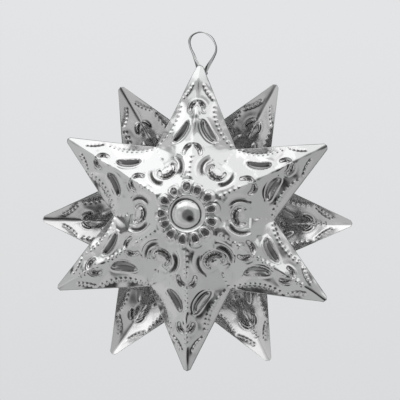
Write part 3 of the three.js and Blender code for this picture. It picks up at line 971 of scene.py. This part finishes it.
def tinplate_material():
    """Bright tinplate: near-mirror, with fine rolling lines, rubbed marks with painted highlights, tarnish
    and painted shade in hollows and creases, and painted light on its inside.
    """
    n = Nodes(bpy.data.materials.new("tinplate"))
    place = n.place()
    # knurl, and painted shade in grooves and creases
    knurl_and_shade = n.attribute("knurl_and_shade")
    inside = n.attribute("inside")
    cloud = n.noise(place, *CLOUDS)
    patchy = n.spread(cloud, CLOUD_RANGE, TARNISH_AND_SHADE_PATCHES)
    # tarnish and painted shade, deeper in the hollows and patchy
    tarnish_and_shade = n.maths("MULTIPLY", n.attribute("hollow"), patchy)
    in_hollow = n.spread(tarnish_and_shade, HOLLOW_TARNISH_AND_SHADE_FADE, (0.0, HOLLOW_TARNISH_AND_SHADE))
    # darkening from the knurl and painted shade in creases, and from the hollows' tarnish and painted shade
    dullness_and_shade = n.maths("MULTIPLY_ADD", knurl_and_shade, KNURL_AND_SHADE_DARKENING, in_hollow, use_clamp=True)
    colour = n.mix_colours(dullness_and_shade, TIN_COLOUR, TARNISH_AND_SHADE_COLOUR)
    # raised marks rubbed bright with a painted highlight, and the whole inside lightened with painted light
    rubbed_and_painted_light = n.mix_colours(n.maths("MAXIMUM", n.attribute("raised"), inside), colour, RUBBED_AND_PAINTED_LIGHT_COLOUR)
    rough = n.spread(cloud, CLOUD_RANGE, TIN_ROUGHNESS)
    rough = n.maths("MULTIPLY_ADD", dullness_and_shade, TARNISH_ROUGHNESS, rough)
    rough = n.maths("MULTIPLY_ADD", inside, INSIDE_ROUGHNESS, rough)
    along_lines = n.add("ShaderNodeMapping", {"Vector": place, "Scale": LINE_STRETCH}).outputs[0]
    scratched = n.bump(n.noise(along_lines, *LINES), LINE_BUMP)
    cells = n.add("ShaderNodeTexVoronoi", {"Vector": place, "Scale": KNURL_SCALE}).outputs["Distance"]
    knurled = n.bump(n.maths("MULTIPLY", cells, knurl_and_shade), KNURL_BUMP, Normal=scratched)
    return n.finish(Base_Color=rubbed_and_painted_light, Roughness=rough, Normal=knurled, Metallic=1.0)


def solder_material():
    """Soft solder: duller and greyer than the sheet, with a frosted, faintly pitted skin."""
    n = Nodes(bpy.data.materials.new("solder"))
    frost = n.noise(n.place(), *FROST)
    colour = n.mix_colours(frost, SOLDER_DARK, SOLDER_PALE)
    rough = n.spread(frost, (0.0, 1.0), SOLDER_ROUGHNESS)
    return n.finish(Base_Color=colour, Roughness=rough, Normal=n.bump(frost, FROST_BUMP), Metallic=1.0)


def floor_material():
    """A plain matt floor that turns clear with distance, so that no edge shows against the backdrop."""
    n = Nodes(bpy.data.materials.new("pale_floor"))
    reach = n.add("ShaderNodeVectorMath", {0: n.place()}, operation="LENGTH").outputs["Value"]
    clear = n.spread(reach, FLOOR_FADE, (1.0, 0.0), interpolation_type="SMOOTHSTEP")
    return n.finish(Base_Color=FLOOR_COLOUR, Roughness=FLOOR_ROUGHNESS, Alpha=clear)


# ======== camera, light and floor
def place_camera(star):
    """Look at the star from a little to its side and from below, with the camera slightly tilted."""
    data = bpy.data.cameras.new("camera")
    data.sensor_width = SENSOR_WIDTH
    data.lens = SENSOR_WIDTH * VIEW_DISTANCE / VIEW_WIDTH
    data.clip_end = VIEW_LIMIT
    camera = bpy.data.objects.new("camera", data)
    away = Vector((math.sin(VIEW_AZIMUTH) * math.cos(VIEW_ELEVATION),
                   -math.cos(VIEW_AZIMUTH) * math.cos(VIEW_ELEVATION),
                   math.sin(VIEW_ELEVATION)))
    turn = (-away).to_track_quat("-Z", "Y").to_matrix() @ Matrix.Rotation(VIEW_ROLL, 3, "Z")
    aim = Vector(star.centre) * MM + turn @ Vector((AIM_OFFSET[0], AIM_OFFSET[1], 0))
    camera.matrix_world = Matrix.Translation(aim + away * VIEW_DISTANCE) @ turn.to_4x4()
    bpy.context.scene.collection.objects.link(camera)
    bpy.context.scene.camera = camera


def softbox(name, centre, size, radiance):
    """A wide, evenly glowing panel that faces straight down, above the star."""
    data = bpy.data.lights.new(name, "AREA")
    data.shape = "RECTANGLE"
    data.size, data.size_y = size
    data.energy = radiance * math.pi * size[0] * size[1]
    lamp = bpy.data.objects.new(name, data)
    lamp.location = centre
    lamp.visible_camera = False
    bpy.context.scene.collection.objects.link(lamp)


def direction_from_axis(off_axis, clock, side):
    """A direction so many degrees off the front (side -1) or back (side 1) axis, at an angle from +X."""
    off_axis, clock = math.radians(off_axis), math.radians(clock)
    return Vector((math.sin(off_axis) * math.cos(clock), side * math.cos(off_axis),
                   math.sin(off_axis) * math.sin(clock)))


def reflected_room(n, direction):
    """Brightness of what the tin reflects: pale walls, with soft bright and dark panels front and back."""
    shade = WALL_SHADE
    for side in (1, -1):
        for off_axis, clock, radius, softness, panel_shade in PANELS:
            toward = direction_from_axis(off_axis, clock, side)
            closeness = n.add("ShaderNodeVectorMath", {0: direction, 1: toward}, operation="DOT_PRODUCT")
            outer_edge = math.cos(math.radians(radius + softness))
            inner_edge = math.cos(math.radians(max(radius - softness, 0)))
            in_panel = n.spread(closeness.outputs["Value"], (outer_edge, inner_edge), (0.0, 1.0),
                                interpolation_type="SMOOTHSTEP")
            values = {"Factor": in_panel, "A": shade, "B": panel_shade}
            shade = n.add("ShaderNodeMix", values, data_type="FLOAT").outputs["Result"]
    return shade


def studio_world():
    """The room that the tin reflects, and the plain backdrop that the camera sees in its place."""
    n = Nodes(bpy.data.worlds.new("studio"))
    bpy.context.scene.world = n.owner
    direction = n.add("ShaderNodeTexCoord").outputs["Generated"]
    room = n.tree.nodes["Background"]
    n.feed(room, {"Color": reflected_room(n, direction)})
    upward = n.add("ShaderNodeSeparateXYZ", {0: direction}).outputs["Z"]
    height = n.spread(upward, (0.0, BACKDROP_RISE), (0.0, 1.0))
    backdrop = n.add("ShaderNodeBackground", {"Color": n.mix_colours(height, BACKDROP_LOW, BACKDROP_HIGH)})
    seen = n.add("ShaderNodeLightPath").outputs["Is Camera Ray"]
    mixed = n.add("ShaderNodeMixShader", {0: seen, 1: room.outputs[0], 2: backdrop.outputs[0]})
    n.feed(n.tree.nodes["World Output"], {"Surface": mixed.outputs[0]})


def make_floor(material):
    """A plain pale floor, well below the hanging star, that fades out towards its edge."""
    mesh = bpy.data.meshes.new("floor")
    half = FLOOR_HALF_SIZE
    corners = [(x, y, FLOOR_LEVEL) for x, y in ((-half, -half), (half, -half), (half, half), (-half, half))]
    mesh.from_pydata(corners, [], [(0, 1, 2, 3)])
    mesh.materials.append(material)
    floor = bpy.data.objects.new("floor", mesh)
    floor.visible_glossy = False
    bpy.context.scene.collection.objects.link(floor)


def set_view():
    """Show colours as they are, with no film look."""
    view = bpy.context.scene.view_settings
    view.view_transform = "Standard"
    view.look = "None"


# ======== the whole scene
front_star = Star("front_star", -1, NOTCH_RADIUS, FRONT_UNEVENNESS, FRONT_SEED)
back_star = Star("back_star", 1, BACK_NOTCH_RADIUS, BACK_UNEVENNESS, BACK_SEED)
place_camera(front_star)
set_view()
studio_world()
for light_name, (light_centre, light_size, light_radiance) in SOFTBOXES.items():
    softbox(light_name, light_centre, light_size, light_radiance)
make_floor(floor_material())

tin = tinplate_material()
solder = solder_material()
make_star(front_star, "punched_front_star", FINE_SPACINGS, HIDDEN_SPACINGS, FRONT_BEADED_POINTS, tin)
make_star(back_star, "punched_back_star", PLAIN_SPACINGS, PLAIN_SPACINGS, BACK_BEADED_POINTS, tin)
make_loop(front_star, tin)
for number in range(1, 2 * POINTS + 1):
    make_puddle(f"solder_drop_{number}", f"solder_joint_{number}", DROP_HALF_SIZES, number, solder)
make_puddle("loop_solder_puddle", "loop_solder", LOOP_PUDDLE_HALF_SIZES, LOOP_PUDDLE_SEED, solder)
